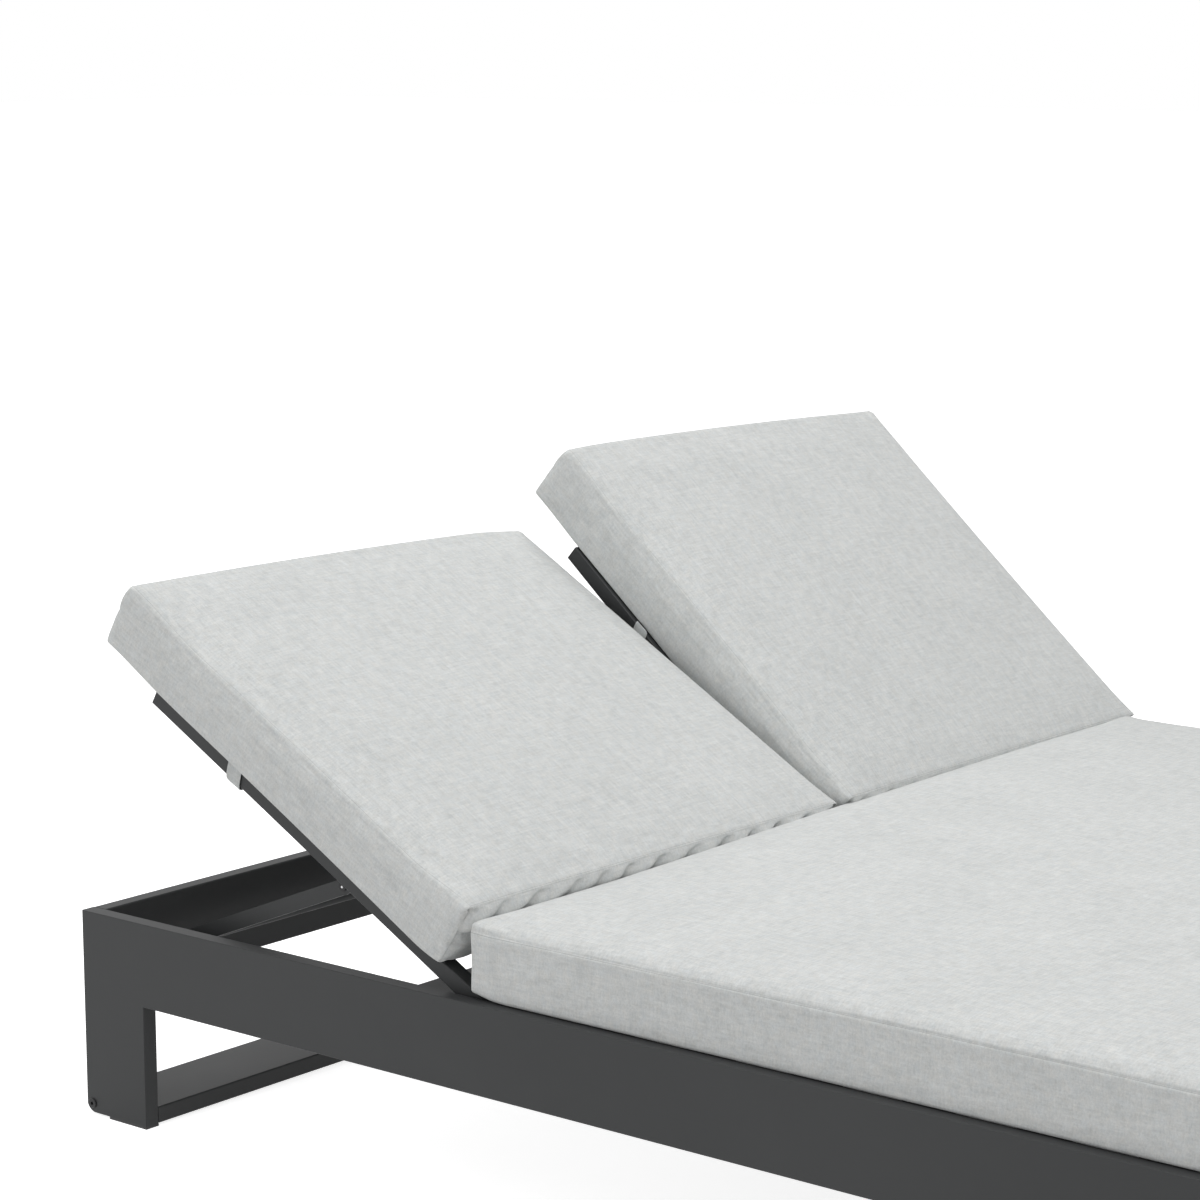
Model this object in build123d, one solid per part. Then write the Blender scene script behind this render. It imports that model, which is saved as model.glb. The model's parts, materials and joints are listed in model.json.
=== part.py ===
"""Double chaise lounger: an aluminium sled frame, two reclining backrests, one seat cushion.

X runs from the head end to the foot end, Y from the near side to the far side, Z is up.
The origin is on the floor, under the middle of the frame. All lengths are in millimetres.
"""
import math
import os

from build123d import *

# Frame of rectangular tube
frame_length = 2000.0
frame_width = 1380.0
tube_depth = 100.0
tube_thickness = 20.0
tube_wall = 2.0
tube_corner = 1.2
rail_top = 248.0
cut_overrun = 5.0

# Glides under the posts
glide_height = 3.0
glide_length = 62.0
glide_plug_height = 18.0
glide_fit = 0.1

# Hidden transport wheels in the head posts
wheel_radius = 11.5
wheel_inset = 10.0
wheel_axle_height = 14.0
wheel_side_gap = 0.3
post_corner_radius = 14.0
wheel_mouth_height = 29.0
axle_radius = 3.0
axle_running_gap = 0.05
axle_head_radius = 6.0
axle_head_height = 2.0
axle_head_edge = 0.8
axle_socket_radius = 2.3
axle_nut_radius = 5.8
axle_nut_height = 3.0

# Slatted seat deck
slat_width = 60.0
slat_height = 25.0
slat_wall = 1.5
slat_count = 11
first_slat_from_hinge = 22.0
last_slat_from_rail = 12.0

# Hinge line of the backrests
hinge_bolt_radius = 4.0
hinge_running_gap = 0.05
hinge_bolt_head_radius = 7.0
hinge_bolt_head_height = 4.5
outer_spacer_length = 5.0
centre_spacer_length = 1.0
spacer_radius = 8.5
bracket_thickness = 4.0
bracket_half_width = 15.0
cross_rail_from_hinge = 39.0

# Backrest frames of square tube
back_tube = 20.0
back_wall = 1.5
back_corner = 1.0
back_tube_length = 555.0
back_tube_tail = 9.5
back_bottom_tube_from_hinge = 14.0
back_slat_width = 45.0
back_slat_height = 12.0
back_slat_pitch = 82.0
least_gap_after_slats = 30.0
first_back_slat_from_hinge = 100.0
cap_thickness = 1.5
cap_plug_length = 14.0

# Stays that prop the backrests, with the bars that drop into the racks
stay_pivot_from_hinge = 231.0
stay_pivot_below_tube = 15.7
stay_length = 324.0
stay_tube = 18.0
stay_wall = 1.5
stay_end_plug = 20.0
stay_bar_radius = 8.0
stay_bar_wall = 1.5
stay_bar_height = 206.0
stay_turn_per_recline = 0.71
stay_side_gap = 0.5
stay_end_clearance = 7.0
lug_thickness = 3.0
lug_radius = 10.0
lug_top_below_slats = 0.5
rivet_radius = 3.0
rivet_running_gap = 0.05
rivet_depth = 12.0
rivet_tip_gap = 0.5
rivet_head_radius = 5.0
rivet_head_height = 1.6

# Notched racks inside the frame
rack_thickness = 4.0
rack_depth = 34.0
rack_notch_depth = 4.0
rack_gap = 0.4
rack_lead_share = 0.712
rack_top_steps = 9
first_notch_before_reach = 41.7
notch_pitch = 43.0
rack_heel = 18.0

# Cushions and their straps
cushion_side_inset = 13.0
cushion_middle_gap = 4.0
cushion_height = 83.0
cushion_crown = 8.0
cushion_end_crown = 3.5
cushion_edge = 12.0
cushion_end_inset = 6.0
cushion_end_corner = 8.0
cushion_draw_in = 3.0
cushion_side_bow = 2.5
cushion_rest_gap = 0.4
seat_cushion_from_hinge = 6.0
seat_cushion_from_foot = 12.0
back_cushion_from_hinge = 67.5
back_cushion_overhang = 90.0
strap_thickness = 1.5
strap_gap = 0.3
strap_to_slat_gap = 2.5

# Places that follow from the sizes above
half_length = frame_length / 2
half_width = frame_width / 2
rail_bottom = rail_top - tube_depth
inner_face = half_width - tube_thickness
stay_reach = stay_pivot_from_hinge + stay_length
hinge_from_head = stay_reach + stay_bar_radius + stay_end_clearance + tube_thickness
hinge_x = hinge_from_head - half_length
hinge_z = rail_top - back_tube / 2
back_tube_outer = inner_face - outer_spacer_length
back_tube_inner = bracket_thickness / 2 + centre_spacer_length
deck_z = rail_top - slat_height
centre_rail_half = tube_thickness / 2
stay_pivot_drop = back_tube / 2 + stay_pivot_below_tube
stay_bar_ends = (centre_rail_half + stay_side_gap, inner_face - stay_side_gap)
slats_reach = back_tube_length - back_tube - least_gap_after_slats - back_slat_width
back_slat_count = 1 + math.floor((slats_reach - first_back_slat_from_hinge) / back_slat_pitch)
last_back_slat_from_hinge = first_back_slat_from_hinge + back_slat_pitch * (back_slat_count - 1)
strap_width = back_slat_pitch - back_slat_width - 2 * strap_to_slat_gap
strap_from_hinge = last_back_slat_from_hinge - strap_to_slat_gap - strap_width / 2


def solid_box(x_span, y_span, z_span):
    """A box between two corners."""
    size = [high - low for low, high in (x_span, y_span, z_span)]
    middle = [(high + low) / 2 for low, high in (x_span, y_span, z_span)]
    return Pos(*middle) * Box(*size)


def square_tube(x_span, y_span, z_span, run, wall, corner, trim=fillet):
    """A rectangular tube that runs along one of the three axes."""
    outer = solid_box(x_span, y_span, z_span)
    outer = trim(outer.edges().filter_by(run), corner)
    hollow = []
    for axis, (low, high) in zip((Axis.X, Axis.Y, Axis.Z), (x_span, y_span, z_span)):
        if axis == run:
            hollow.append((low - cut_overrun, high + cut_overrun))
        else:
            hollow.append((low + wall, high - wall))
    return outer - solid_box(*hollow)


def rod_across(x, z, y_span, radius):
    """A round rod that runs along Y."""
    low, high = y_span
    return Pos(x, (low + high) / 2, z) * Rot(90, 0, 0) * Cylinder(radius, high - low)


def hexagon_across(x, z, y_span, radius):
    """A six-sided nut with its axis along Y."""
    low, high = y_span
    prism = extrude(RegularPolygon(radius, 6), amount=high - low)
    return Pos(x, high, z) * Rot(90, 0, 0) * prism


def plate_across(outline, y_span):
    """A flat plate cut to an outline in X and Z, as thick as its span along Y."""
    low, high = y_span
    face = Face(Wire(outline))
    plate = extrude(face, amount=high - low, dir=(0, 1, 0))
    return Pos(0, low, 0) * plate


def xz_polygon(points):
    """Closed straight edges through points given in X and Z."""
    corners = [(x, 0, z) for x, z in points]
    return Polyline(*corners, close=True).edges()


def mirrored(side, y_span):
    """A span on the far side, or the same span mirrored to the near side."""
    low, high = y_span
    return (low, high) if side > 0 else (-high, -low)


def mitre_triangle(end, keep_rail):
    """The corner that a mitre takes off a rail or a post, seen from the side."""
    outer = end * (half_length + cut_overrun)
    inner = end * (half_length - tube_depth - cut_overrun)
    top = rail_top + cut_overrun
    bottom = rail_bottom - cut_overrun
    if keep_rail:
        return [(outer, top), (inner, bottom), (outer, bottom)]
    return [(outer, top), (inner, top), (inner, bottom)]


def side_rail(side):
    y_span = mirrored(side, (inner_face, half_width))
    x_span = (-half_length, half_length)
    rail = square_tube(x_span, y_span, (rail_bottom, rail_top), Axis.X, tube_wall, tube_corner)
    cut_span = (y_span[0] - cut_overrun, y_span[1] + cut_overrun)
    for end in (-1, 1):
        rail -= plate_across(xz_polygon(mitre_triangle(end, True)), cut_span)
    hole_span = mirrored(side, (inner_face - cut_overrun, inner_face + tube_wall + cut_overrun))
    return rail - rod_across(hinge_x, hinge_z, hole_span, hinge_bolt_radius + hinge_running_gap)


def post(side, end):
    y_span = mirrored(side, (inner_face, half_width))
    x_span = sorted((end * half_length, end * (half_length - tube_depth)))
    z_span = (glide_height, rail_top)
    upright = square_tube(x_span, y_span, z_span, Axis.Z, tube_wall, tube_corner)
    cut_span = (y_span[0] - cut_overrun, y_span[1] + cut_overrun)
    upright -= plate_across(xz_polygon(mitre_triangle(end, False)), cut_span)
    if end < 0:
        upright -= wheel_mouth(y_span)
        upright -= rounded_corner_waste(cut_span)
        axle_x = wheel_inset - half_length
        upright -= rod_across(axle_x, wheel_axle_height, cut_span, axle_radius)
    return upright


def wheel_mouth(y_span):
    """The opening through which the wheel shows between the post's two side walls."""
    x_span = (-half_length - cut_overrun, tube_wall + tube_corner - half_length)
    cheek_span = (y_span[0] + tube_wall, y_span[1] - tube_wall)
    return solid_box(x_span, cheek_span, (glide_height - cut_overrun, wheel_mouth_height))


def rounded_corner_waste(y_span):
    """What a round at the post's lower corner takes away."""
    x_low = -half_length
    x_high = x_low + post_corner_radius
    z_high = glide_height + post_corner_radius
    corner = solid_box((x_low - cut_overrun, x_high), y_span, (glide_height - cut_overrun, z_high))
    return corner - rod_across(x_high, z_high, y_span, post_corner_radius)


def end_rail(end):
    x_span = sorted((end * half_length, end * (half_length - tube_thickness)))
    y_span = (-inner_face, inner_face)
    z_span = (rail_bottom, rail_top)
    return square_tube(x_span, y_span, z_span, Axis.Y, tube_wall, tube_corner, chamfer)


def floor_bar(end):
    x_span = sorted((end * half_length, end * (half_length - tube_depth)))
    z_span = (glide_height, glide_height + tube_thickness)
    y_span = (-inner_face, inner_face)
    return square_tube(x_span, y_span, z_span, Axis.Y, tube_wall, tube_corner, chamfer)


def centre_rail():
    x_span = (tube_thickness - half_length, half_length - tube_thickness)
    y_span = (-centre_rail_half, centre_rail_half)
    return square_tube(x_span, y_span, (rail_bottom, deck_z), Axis.X, tube_wall, tube_corner, chamfer)


def hinge_rail(side):
    """The wide flat tube that ties a side rail to the centre rail ahead of the hinges."""
    x_high = hinge_x - cross_rail_from_hinge
    x_span = (x_high - tube_depth, x_high)
    y_span = mirrored(side, (centre_rail_half, inner_face))
    z_span = (deck_z - tube_thickness, deck_z)
    return square_tube(x_span, y_span, z_span, Axis.Y, tube_wall, tube_corner, chamfer)


def seat_slat(index):
    first = hinge_x + first_slat_from_hinge
    last = half_length - tube_thickness - last_slat_from_rail - slat_width
    x_low = first + (last - first) * index / (slat_count - 1)
    z_span = (rail_top - slat_height, rail_top)
    x_span = (x_low, x_low + slat_width)
    y_span = (-inner_face, inner_face)
    return square_tube(x_span, y_span, z_span, Axis.Y, slat_wall, tube_corner, chamfer)


def glide(side, end):
    """A plastic foot with a plug that closes the post's lower end."""
    inner_end = end * (half_length - tube_depth)
    x_span = sorted((inner_end, inner_end + end * glide_length))
    y_span = mirrored(side, (inner_face, half_width))
    foot = solid_box(x_span, y_span, (0, glide_height))
    inside = tube_wall + glide_fit
    plug_x = sorted((inner_end + end * inside, inner_end + end * (glide_length - inside)))
    plug_y = (y_span[0] + inside, y_span[1] - inside)
    plug = solid_box(plug_x, plug_y, (glide_height, glide_height + glide_plug_height))
    hollow_x = (plug_x[0] + tube_wall, plug_x[1] - tube_wall)
    hollow_y = (plug_y[0] + tube_wall, plug_y[1] - tube_wall)
    hollow_z = (glide_height + tube_wall, glide_height + glide_plug_height + cut_overrun)
    return foot + plug - solid_box(hollow_x, hollow_y, hollow_z)


def wheel(side):
    """A small wheel that fills the space between the post's cheeks, with a running bore."""
    clear_of_cheek = tube_wall + wheel_side_gap
    y_span = mirrored(side, (inner_face + clear_of_cheek, half_width - clear_of_cheek))
    x = wheel_inset - half_length
    tyre = rod_across(x, wheel_axle_height, y_span, wheel_radius)
    return tyre - rod_across(x, wheel_axle_height, y_span, axle_radius + axle_running_gap)


def wheel_axle(side):
    """The socket-headed bolt that a transport wheel turns on, with its nut."""
    x = wheel_inset - half_length
    shank_span = mirrored(side, (inner_face - axle_nut_height, half_width))
    bolt = rod_across(x, wheel_axle_height, shank_span, axle_radius)
    head_span = mirrored(side, (half_width, half_width + axle_head_height))
    head = rod_across(x, wheel_axle_height, head_span, axle_head_radius)
    outer_face = head.faces().sort_by(Axis.Y)[-1 if side > 0 else 0]
    head = chamfer(outer_face.edges(), axle_head_edge)
    socket_span = mirrored(side, (half_width, half_width + axle_head_height + cut_overrun))
    head -= hexagon_across(x, wheel_axle_height, socket_span, axle_socket_radius)
    nut_span = mirrored(side, (inner_face - axle_nut_height, inner_face))
    nut = hexagon_across(x, wheel_axle_height, nut_span, axle_nut_radius)
    return bolt + head + nut


def outer_hinge_bolt(side):
    """A hexagon bolt from inside the backrest's outer tube into the side rail's inner wall."""
    tube_inner_face = back_tube_outer - back_tube
    head_high = tube_inner_face - centre_spacer_length / 2
    head_low = head_high - hinge_bolt_head_height
    shank_span = mirrored(side, (head_high, inner_face + tube_wall))
    bolt = rod_across(hinge_x, hinge_z, shank_span, hinge_bolt_radius)
    head_span = mirrored(side, (head_low, head_high))
    return bolt + hexagon_across(hinge_x, hinge_z, head_span, hinge_bolt_head_radius)


def centre_hinge_bolt():
    """One long bolt through the centre bracket and both inner backrest tubes."""
    reach = back_tube_inner + back_tube + centre_spacer_length / 2
    bolt = rod_across(hinge_x, hinge_z, (-reach, reach), hinge_bolt_radius)
    for side in (-1, 1):
        head_span = mirrored(side, (reach, reach + hinge_bolt_head_height))
        bolt += hexagon_across(hinge_x, hinge_z, head_span, hinge_bolt_head_radius)
    return bolt


def hinge_spacer(side, y_span):
    """A plastic washer that a backrest tube turns against."""
    span = mirrored(side, y_span)
    washer = rod_across(hinge_x, hinge_z, span, spacer_radius)
    bore_span = (span[0] - cut_overrun, span[1] + cut_overrun)
    return washer - rod_across(hinge_x, hinge_z, bore_span, hinge_bolt_radius)


def centre_bracket():
    """The upright plate on the centre rail that carries the middle hinge bolt."""
    top_radius = back_tube / 2
    left = hinge_x - bracket_half_width
    right = hinge_x + bracket_half_width
    outline = [
        Line((left, 0, deck_z), (right, 0, deck_z)),
        Line((right, 0, deck_z), (hinge_x + top_radius, 0, hinge_z)),
        ThreePointArc(
            (hinge_x + top_radius, 0, hinge_z),
            (hinge_x, 0, hinge_z + top_radius),
            (hinge_x - top_radius, 0, hinge_z),
        ),
        Line((hinge_x - top_radius, 0, hinge_z), (left, 0, deck_z)),
    ]
    y_span = (-bracket_thickness / 2, bracket_thickness / 2)
    plate = plate_across(outline, y_span)
    return plate - rod_across(hinge_x, hinge_z, y_span, hinge_bolt_radius)


def rack(side, y_span, rest_recline):
    """A notched plate: the stay's bar drops into one notch for each backrest position."""
    top = []
    for step in range(rack_top_steps + 1):
        share = step / rack_top_steps
        recline = rack_first_recline + (highest_recline - rack_first_recline) * share
        x, z = coupled_bar(recline, rest_recline)
        top.append((x, z - stay_bar_radius - rack_gap))
    start = top[0][0]
    finish = top[-1][0] + rack_heel
    base_z = top[-1][1] - rack_depth
    outline = top + [(finish, top[-1][1]), (finish, base_z), (start, base_z)]
    span = mirrored(side, y_span)
    plate = plate_across(xz_polygon(outline), span)
    for recline in (near_recline, far_recline, highest_recline):
        x, z = coupled_bar(recline, rest_recline)
        plate -= rod_across(x, z - rack_notch_depth, span, stay_bar_radius + rack_gap)
    return plate


def notch_recline(number):
    """The backrest's recline, in degrees, with the stay's bar in one of the notches."""
    across = stay_reach - first_notch_before_reach - notch_pitch * number
    down = hinge_z - stay_bar_height
    pivot_radius = math.hypot(stay_pivot_from_hinge, stay_pivot_drop)
    bar_radius = math.hypot(across, down)
    cosine = (pivot_radius ** 2 + bar_radius ** 2 - stay_length ** 2) / (2 * pivot_radius * bar_radius)
    pivot_below_tube = math.atan2(stay_pivot_drop, stay_pivot_from_hinge)
    return math.degrees(math.acos(cosine) - math.atan2(down, across) + pivot_below_tube)


def coupled_bar(recline, rest_recline):
    """Where the stay's bar is when the stay turns in step with the backrest."""
    x, z = stay_pivot(recline)
    turned = stay_turn_per_recline * (recline - rest_recline)
    slope = math.radians(stay_slope(rest_recline) + turned)
    return x - stay_length * math.cos(slope), z - stay_length * math.sin(slope)


def stay_pivot(recline):
    """Where the stay's rivet is in X and Z for a backrest at this recline."""
    angle = math.radians(recline)
    x = hinge_x - stay_pivot_from_hinge * math.cos(angle) - stay_pivot_drop * math.sin(angle)
    z = hinge_z + stay_pivot_from_hinge * math.sin(angle) - stay_pivot_drop * math.cos(angle)
    return x, z


def stay_slope(recline):
    """How steeply the stay falls towards the head end, in degrees."""
    _, z = stay_pivot(recline)
    return math.degrees(math.asin((z - stay_bar_height) / stay_length))


def on_backrest(recline, piece):
    """Carry a piece drawn on a flat backrest at the hinge to its reclined place."""
    return Pos(hinge_x, 0, hinge_z) * Rot(0, recline, 0) * piece


def back_side_tube(side, y_span):
    """A side tube with its hinge bore, drawn flat with the hinge at the origin."""
    half = back_tube / 2
    x_span = (-back_tube_length, back_tube_tail)
    y_pair = mirrored(side, y_span)
    tube = square_tube(x_span, y_pair, (-half, half), Axis.X, back_wall, back_corner, chamfer)
    bore_span = (y_pair[0] - cut_overrun, y_pair[1] + cut_overrun)
    return tube - rod_across(0, 0, bore_span, hinge_bolt_radius + hinge_running_gap)


def back_cross_tube(side, from_hinge):
    """A tube between the two side tubes, with its near edge this far from the hinge."""
    half = back_tube / 2
    x_span = (-from_hinge - back_tube, -from_hinge)
    y_span = mirrored(side, (back_tube_inner + back_tube, back_tube_outer - back_tube))
    return square_tube(x_span, y_span, (-half, half), Axis.Y, back_wall, back_corner, chamfer)


def back_slats(side):
    """Flat slats let in between the side tubes, level with their tops."""
    top = back_tube / 2
    y_span = mirrored(side, (back_tube_inner + back_tube, back_tube_outer - back_tube))
    slats = []
    for index in range(back_slat_count):
        start = first_back_slat_from_hinge + back_slat_pitch * index
        x_span = (-start - back_slat_width, -start)
        z_span = (top - back_slat_height, top)
        slats.append(square_tube(x_span, y_span, z_span, Axis.Y, back_wall, back_corner, chamfer))
    return slats


def tube_caps(side):
    """Plastic caps in the free ends of the two side tubes."""
    inside = back_wall + glide_fit
    half = back_tube / 2
    caps = []
    for low in (back_tube_inner, back_tube_outer - back_tube):
        y_pair = mirrored(side, (low, low + back_tube))
        plate_x = (-back_tube_length - cap_thickness, -back_tube_length)
        plate = solid_box(plate_x, y_pair, (-half, half))
        plate = chamfer(plate.edges().filter_by(Axis.X), back_corner)
        plug_x = (-back_tube_length, -back_tube_length + cap_plug_length)
        plug_y = (y_pair[0] + inside, y_pair[1] - inside)
        plug = solid_box(plug_x, plug_y, (inside - half, half - inside))
        caps.append(plate + plug)
    return caps


def stay_lugs(side):
    """Plates on the inner faces of the side tubes that hold the stay's rivets."""
    x = -stay_pivot_from_hinge
    top = back_tube / 2 - back_slat_height - lug_top_below_slats
    lugs = []
    for y_span in lug_spans():
        outline = [
            Line((x - lug_radius, 0, top), (x + lug_radius, 0, top)),
            Line((x + lug_radius, 0, top), (x + lug_radius, 0, -stay_pivot_drop)),
            ThreePointArc(
                (x + lug_radius, 0, -stay_pivot_drop),
                (x, 0, -stay_pivot_drop - lug_radius),
                (x - lug_radius, 0, -stay_pivot_drop),
            ),
            Line((x - lug_radius, 0, -stay_pivot_drop), (x - lug_radius, 0, top)),
        ]
        y_pair = mirrored(side, y_span)
        plate = plate_across(outline, y_pair)
        lugs.append(plate - rod_across(x, -stay_pivot_drop, y_pair, rivet_radius))
    return lugs


def lug_spans():
    """The lugs' spans along Y on the far side: the inner one, then the outer one."""
    inner = back_tube_inner + back_tube
    outer = back_tube_outer - back_tube
    return [(inner, inner + lug_thickness), (outer - lug_thickness, outer)]


def arm_spans():
    """The stay arms' spans along Y on the far side, just inside the lugs."""
    inner = lug_spans()[0][1] + stay_side_gap
    outer = lug_spans()[1][0] - stay_side_gap
    return [(inner, inner + stay_tube), (outer - stay_tube, outer)]


def stay_rivets(side):
    """Rivets through each lug, headed outside it and set into the stay arm's end."""
    x = -stay_pivot_from_hinge
    z = -stay_pivot_drop
    rivets = []
    for lug, arm, outward in zip(lug_spans(), arm_spans(), (-1, 1)):
        lug_face = lug[1] if outward > 0 else lug[0]
        arm_face = arm[1] if outward > 0 else arm[0]
        tip = arm_face - outward * rivet_depth
        pin = rod_across(x, z, mirrored(side, sorted((lug_face, tip))), rivet_radius)
        head_span = sorted((lug_face, lug_face + outward * rivet_head_height))
        rivets.append(pin + rod_across(x, z, mirrored(side, head_span), rivet_head_radius))
    return rivets


def stay_frame(recline, piece):
    """Carry a piece drawn along the stay, with its rivet at the origin, to its place."""
    x, z = stay_pivot(recline)
    return Pos(x, 0, z) * Rot(0, -stay_slope(recline), 0) * piece


def stay_arms(side):
    """Two square arms with solid round ends, a rivet bore in one and a hole for the bar."""
    half = stay_tube / 2
    arms = []
    for span, outward in zip(arm_spans(), (-1, 1)):
        y_pair = mirrored(side, span)
        arm = solid_box((-stay_length, 0), y_pair, (-half, half))
        for end_x in (-stay_length, 0):
            arm += rod_across(end_x, 0, y_pair, half)
        hollow_x = (stay_end_plug - stay_length, -stay_end_plug)
        hollow_y = (y_pair[0] + stay_wall, y_pair[1] - stay_wall)
        arm -= solid_box(hollow_x, hollow_y, (stay_wall - half, half - stay_wall))
        arm_face = span[1] if outward > 0 else span[0]
        bore_low = arm_face - outward * (rivet_depth + rivet_tip_gap)
        bore_high = arm_face + outward * cut_overrun
        bore_span = mirrored(side, sorted((bore_low, bore_high)))
        arm -= rod_across(0, 0, bore_span, rivet_radius + rivet_running_gap)
        bar_span = (y_pair[0] - cut_overrun, y_pair[1] + cut_overrun)
        arms.append(arm - rod_across(-stay_length, 0, bar_span, stay_bar_radius))
    return arms


def stay_bar(side):
    """The round tube that joins the arms and rests in the racks."""
    y_pair = mirrored(side, stay_bar_ends)
    bar = rod_across(-stay_length, 0, y_pair, stay_bar_radius)
    bore_span = (y_pair[0] - cut_overrun, y_pair[1] + cut_overrun)
    return bar - rod_across(-stay_length, 0, bore_span, stay_bar_radius - stay_bar_wall)


def cushion_section(x, y_span, base_z, inset, crown):
    """One cross-section: a flat base with cut-off edges, drawn-in sides and a crowned top."""
    low = y_span[0] + inset
    high = y_span[1] - inset
    floor = base_z + inset
    roof = base_z + cushion_height - inset
    shrink = inset / cushion_end_inset
    round_off = cushion_edge + (cushion_end_corner - cushion_edge) * shrink
    cut = round_off * (1 - math.sqrt(1 / 2))
    waist = (floor + roof) / 2
    draw = cushion_draw_in
    edges = [
        Line((x, low + round_off, floor), (x, high - round_off, floor)),
        Line((x, high - round_off, floor), (x, high - cut, floor + cut)),
        Line((x, high - cut, floor + cut), (x, high, floor + round_off)),
        ThreePointArc((x, high, floor + round_off), (x, high - draw, waist), (x, high, roof - round_off)),
        ThreePointArc(
            (x, high, roof - round_off), (x, high - cut, roof - cut), (x, high - round_off, roof)
        ),
        ThreePointArc(
            (x, high - round_off, roof), (x, (low + high) / 2, roof + crown), (x, low + round_off, roof)
        ),
        ThreePointArc((x, low + round_off, roof), (x, low + cut, roof - cut), (x, low, roof - round_off)),
        ThreePointArc((x, low, roof - round_off), (x, low + draw, waist), (x, low, floor + round_off)),
        Line((x, low, floor + round_off), (x, low + cut, floor + cut)),
        Line((x, low + cut, floor + cut), (x, low + round_off, floor)),
    ]
    return Face(Wire(edges))


def cushion(x_span, y_span, base_z):
    """A box cushion: rounded at its ends and highest in the middle."""
    start, finish = x_span
    length = finish - start
    end_shares = (0, 0.4, 1)
    inset_shares = (1, 0.3, 0)
    stations = [(start + cushion_edge * run, run_inset) for run, run_inset in zip(end_shares, inset_shares)]
    middle_shares = (0.25, 0.5, 0.75)
    stations += [(start + length * share, 0) for share in middle_shares]
    mirrored_ends = zip(reversed(end_shares), reversed(inset_shares))
    stations += [(finish - cushion_edge * run, run_inset) for run, run_inset in mirrored_ends]
    sections = []
    for x, inset_share in stations:
        along = 2 * (x - start) / length - 1
        middle_share = 1 - along ** 4
        crown = cushion_end_crown + (cushion_crown - cushion_end_crown) * middle_share
        inset = cushion_end_inset * inset_share
        bow = cushion_side_bow * middle_share
        bowed_span = (y_span[0] + bow, y_span[1] - bow)
        sections.append(cushion_section(x, bowed_span, base_z, inset, crown))
    return loft(sections, ruled=True)


def seat_cushion():
    x_span = (hinge_x + seat_cushion_from_hinge, half_length - seat_cushion_from_foot)
    reach = half_width - cushion_side_inset
    return cushion(x_span, (-reach, reach), rail_top + cushion_rest_gap)


def back_cushion(side):
    """One backrest cushion, drawn flat with the hinge at the origin."""
    x_span = (-back_tube_length - back_cushion_overhang, -back_cushion_from_hinge)
    y_span = mirrored(side, (cushion_middle_gap / 2, half_width - cushion_side_inset))
    return cushion(x_span, y_span, back_tube / 2 + cushion_rest_gap)


def cushion_straps(side):
    """Fabric loops that go from the cushion's underside round each side tube."""
    half = back_tube / 2
    cloth = strap_thickness
    gap = strap_gap
    x_middle = -strap_from_hinge
    x_span = (x_middle - strap_width / 2, x_middle + strap_width / 2)
    loops = []
    for low in (back_tube_inner, back_tube_outer - back_tube):
        y_low, y_high = mirrored(side, (low, low + back_tube))
        outer = solid_box(x_span, (y_low - gap - cloth, y_high + gap + cloth), (-half - gap - cloth, half))
        x_cut = (x_span[0] - cut_overrun, x_span[1] + cut_overrun)
        inner = solid_box(x_cut, (y_low - gap, y_high + gap), (-half - gap, half + cut_overrun))
        loops.append(outer - inner)
    return loops


near_recline = notch_recline(0)
far_recline = notch_recline(1)
highest_recline = notch_recline(2)
rack_first_recline = near_recline * rack_lead_share


def both_sides():
    """The two sides of the lounger, as a name and the sign of Y."""
    return (("near", -1, near_recline), ("far", 1, far_recline))


def frame_nodes():
    nodes = {"centre_rail": centre_rail(), "centre_hinge_bracket": centre_bracket()}
    for name, side, recline in both_sides():
        nodes[f"{name}_side_rail"] = side_rail(side)
        nodes[f"{name}_head_post"] = post(side, -1)
        nodes[f"{name}_foot_post"] = post(side, 1)
        nodes[f"{name}_hinge_rail"] = hinge_rail(side)
        nodes[f"{name}_wheel"] = wheel(side)
        rack_spans = (
            (centre_rail_half, centre_rail_half + rack_thickness),
            (inner_face - rack_thickness, inner_face),
        )
        racks = [rack(side, y_span, recline) for y_span in rack_spans]
        nodes[f"{name}_racks"] = Compound(racks)
    for name, end in (("head", -1), ("foot", 1)):
        nodes[f"{name}_end_rail"] = end_rail(end)
        nodes[f"{name}_floor_bar"] = floor_bar(end)
    nodes["glides"] = Compound([glide(side, end) for side in (-1, 1) for end in (-1, 1)])
    for index in range(slat_count):
        nodes[f"seat_slat_{index + 1}"] = seat_slat(index)
    nodes["wheel_axle_bolts"] = Compound([wheel_axle(side) for side in (-1, 1)])
    nodes["outer_hinge_bolts"] = Compound([outer_hinge_bolt(side) for side in (-1, 1)])
    nodes["centre_hinge_bolt"] = centre_hinge_bolt()
    outer_washer = (inner_face - outer_spacer_length, inner_face)
    nodes["outer_hinge_spacers"] = Compound([hinge_spacer(side, outer_washer) for side in (-1, 1)])
    centre_washer = (bracket_thickness / 2, bracket_thickness / 2 + centre_spacer_length)
    nodes["centre_hinge_spacers"] = Compound([hinge_spacer(side, centre_washer) for side in (-1, 1)])
    nodes["seat_cushion"] = seat_cushion()
    return nodes


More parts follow.
